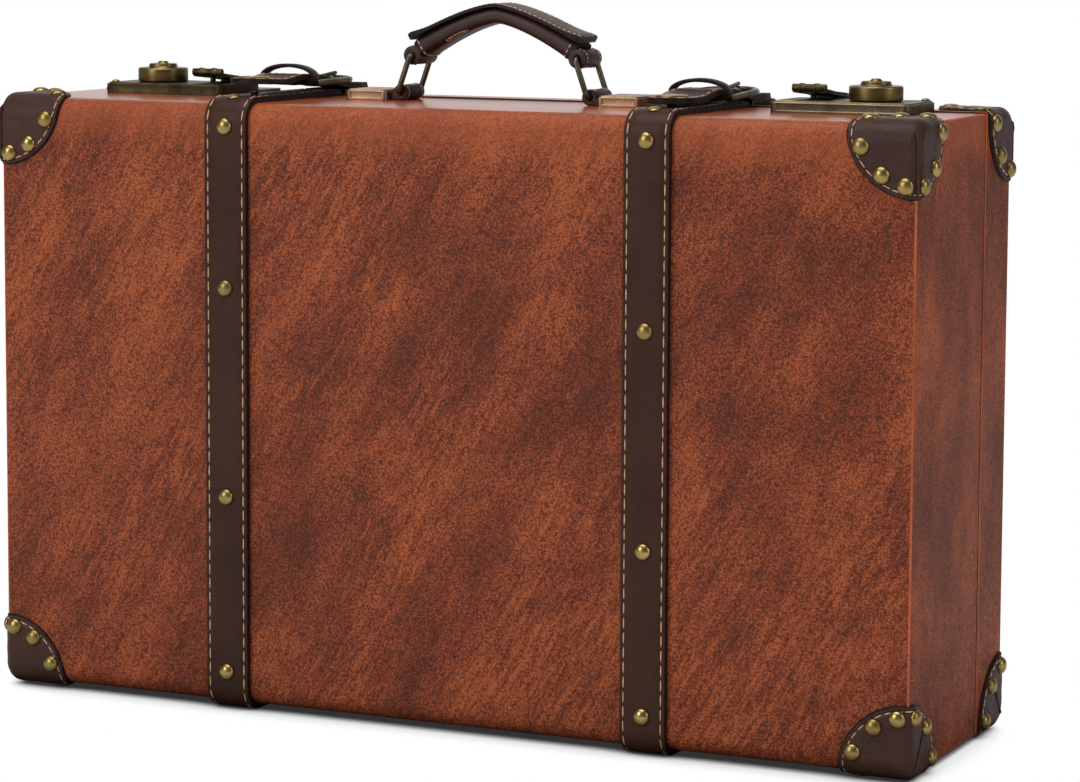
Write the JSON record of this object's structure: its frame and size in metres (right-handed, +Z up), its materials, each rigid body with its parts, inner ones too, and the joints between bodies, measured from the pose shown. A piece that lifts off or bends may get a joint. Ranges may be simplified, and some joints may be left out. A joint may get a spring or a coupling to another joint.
{
  "type": "leather trunk",
  "caption": "Flat leather-covered wooden trunk with wrapped riveted straps, corner caps, sliding-knob latches, buckle straps and a ring-hung grip.",
  "frame": {"origin": "middle of the footprint that the closed trunk stands on, with its handle up", "axes": "+X to the right along the width, +Y to the back where the lid is, +Z up to the handle"},
  "size_m": [0.5292, 0.1584, 0.3756],
  "materials": {
    "case_leather": "mottled, fine grained, satin",
    "trim_leather": "dark, satin, cream stitching",
    "lining": "plain woven cotton",
    "boards": "plain thin plywood",
    "bronze": "antique, dark in the hollows",
    "brass": "polished and worn"
  },
  "bodies": {
    "base": {"base_front_board": "boards", "base_top_board": "boards", "base_bottom_board": "boards", "base_left_board": "boards", "base_right_board": "boards", "base_leather": "case_leather", "base_lining": "lining", "base_strap_left": "trim_leather", "base_strap_right": "trim_leather", "base_cap_top_left": "trim_leather", "base_cap_top_right": "trim_leather", "base_cap_bottom_left": "trim_leather", "base_cap_bottom_right": "trim_leather", "base_rivets": "brass", "press_studs": "brass", "latch_plate_left": "bronze", "latch_plate_right": "bronze", "handle_plate_left": "brass", "handle_plate_right": "brass", "handle_tab_left": "trim_leather", "handle_tab_right": "trim_leather", "hinge_base_leaves": "brass", "hinge_pins": "brass"},
    "lid": {"lid_back_board": "boards", "lid_top_board": "boards", "lid_bottom_board": "boards", "lid_left_board": "boards", "lid_right_board": "boards", "lid_leather": "case_leather", "lid_lining": "lining", "lid_strap_left": "trim_leather", "lid_strap_right": "trim_leather", "lid_cap_top_left": "trim_leather", "lid_cap_top_right": "trim_leather", "lid_cap_bottom_left": "trim_leather", "lid_cap_bottom_right": "trim_leather", "lid_rivets": "brass", "hasp_brackets": "bronze", "hasp_pins": "bronze", "hinge_lid_leaves": "brass"},
    "grip": {"handle_grip": "trim_leather", "handle_core": "trim_leather", "handle_top_strap": "trim_leather"},
    "knob_left": {"knob_left": "brass"},
    "hasp_left": {"hasp_left": "bronze"},
    "ring_left": {"ring_left": "brass"},
    "flap_left": {"tongue_left": "trim_leather", "buckle_frame_left": "brass", "buckle_prong_left": "brass", "keeper_left": "trim_leather", "stud_cap_left": "brass"},
    "knob_right": {"knob_right": "brass"},
    "hasp_right": {"hasp_right": "bronze"},
    "ring_right": {"ring_right": "brass"},
    "flap_right": {"tongue_right": "trim_leather", "buckle_frame_right": "brass", "buckle_prong_right": "brass", "keeper_right": "trim_leather", "stud_cap_right": "brass"}
  },
  "joints": [
    {"name": "lid_hinge", "type": "hinge", "parent": "base", "child": "lid", "pos_m": [0, 0.032, 0.0016], "axis": [-1, 0, 0], "range_deg": [0, 100]},
    {"name": "hasp_left_hinge", "type": "hinge", "parent": "lid", "child": "hasp_left", "pos_m": [-0.176, 0.036, 0.3287], "axis": [-1, 0, 0], "range_deg": [-6, 105]},
    {"name": "knob_left_slide", "type": "slide", "parent": "base", "child": "knob_left", "axis": [-1, 0, 0], "range_m": [0, 0.006], "stiffness_N_per_m": 300},
    {"name": "flap_left_fold", "type": "hinge", "parent": "lid", "child": "flap_left", "pos_m": [-0.12, 0.051, 0.3282], "axis": [-1, 0, 0], "range_deg": [-3.2, 75]},
    {"name": "hasp_right_hinge", "type": "hinge", "parent": "lid", "child": "hasp_right", "pos_m": [0.176, 0.036, 0.3287], "axis": [-1, 0, 0], "range_deg": [-6, 105]},
    {"name": "knob_right_slide", "type": "slide", "parent": "base", "child": "knob_right", "axis": [1, 0, 0], "range_m": [0, 0.006], "stiffness_N_per_m": 300},
    {"name": "flap_right_fold", "type": "hinge", "parent": "lid", "child": "flap_right", "pos_m": [0.12, 0.051, 0.3282], "axis": [-1, 0, 0], "range_deg": [-1, 75]},
    {"name": "ring_left_swing", "type": "hinge", "parent": "base", "child": "ring_left", "pos_m": [-0.0553, 0.009, 0.3274], "axis": [0, 1, 0], "range_deg": [-12, 12]},
    {"name": "grip_swing", "type": "hinge", "parent": "ring_left", "child": "grip", "pos_m": [-0.04822, 0.009, 0.34738], "axis": [0, 1, 0], "range_deg": [-14, 14]},
    {"name": "ring_right_swing", "type": "hinge", "parent": "base", "child": "ring_right", "pos_m": [0.0553, 0.009, 0.3274], "axis": [0, 1, 0], "range_deg": [-12, 12]}
  ],
  "couplings": [
    {"joint": "grip_swing", "follows": "ring_left_swing", "ratio": -1.1452},
    {"joint": "ring_right_swing", "follows": "ring_left_swing", "ratio": 1}
  ]
}
